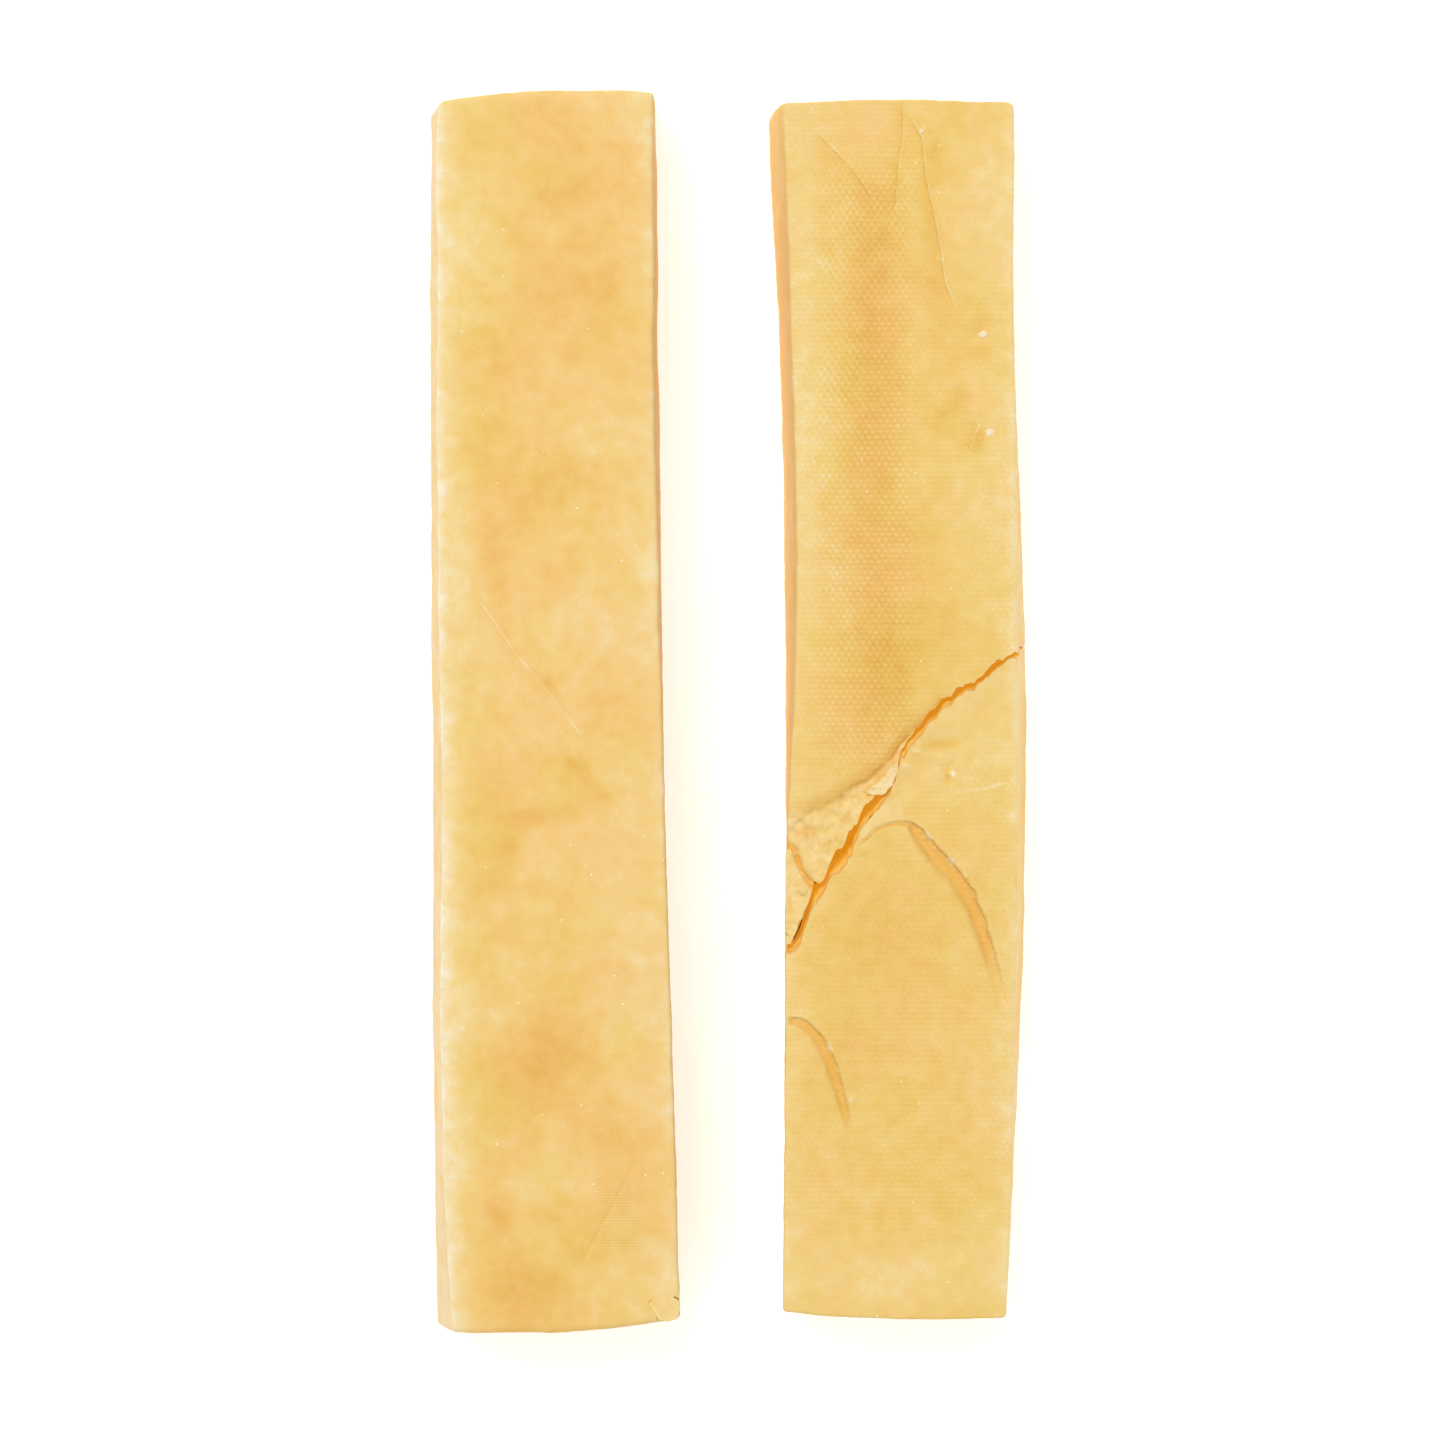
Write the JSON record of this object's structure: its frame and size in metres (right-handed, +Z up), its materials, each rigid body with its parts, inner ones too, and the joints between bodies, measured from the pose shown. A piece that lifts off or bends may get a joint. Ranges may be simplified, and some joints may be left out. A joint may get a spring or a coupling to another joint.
{
  "type": "hard curd chew bars",
  "caption": "Long hard pressed-curd chew bars lying side by side: one saw-cut and smooth, the other printed by its pressing cloth and cracked right across, with loose flakes along the break.",
  "frame": {"origin": "bottom centre of the box round both bars, on the surface they lie on", "axes": "+Y along the bars, away from the smooth bar's chipped corner; +X from the smooth bar to the cloth-printed bar; +Z up from the surface"},
  "size_m": [0.0726, 0.1496, 0.018],
  "materials": {
    "sawn_curd": "satin, slightly translucent, saw-cut",
    "printed_curd": "satin, slightly translucent, printed with a fine plain weave",
    "broken_curd": "rough, pale broken faces, translucent at thin edges"
  },
  "bodies": {
    "smooth_bar": {"smooth_bar": "sawn_curd", "corner_chip": "sawn_curd"},
    "printed_near_half": {"printed_bar_near_half": "printed_curd", "wedge_flake": "broken_curd"},
    "printed_far_half": {"printed_bar_far_half": "printed_curd", "ridge_flake": "broken_curd", "side_splinter": "broken_curd", "face_crumbs": "broken_curd"}
  },
  "joints": [
    {"name": "printed_bar_lift", "type": "slide", "parent": "smooth_bar", "child": "printed_near_half", "axis": [0, 0, 1], "range_m": [0, 0.03]},
    {"name": "crack_parting", "type": "slide", "parent": "printed_near_half", "child": "printed_far_half", "axis": [0, 1, 0], "range_m": [0, 0.025]}
  ]
}
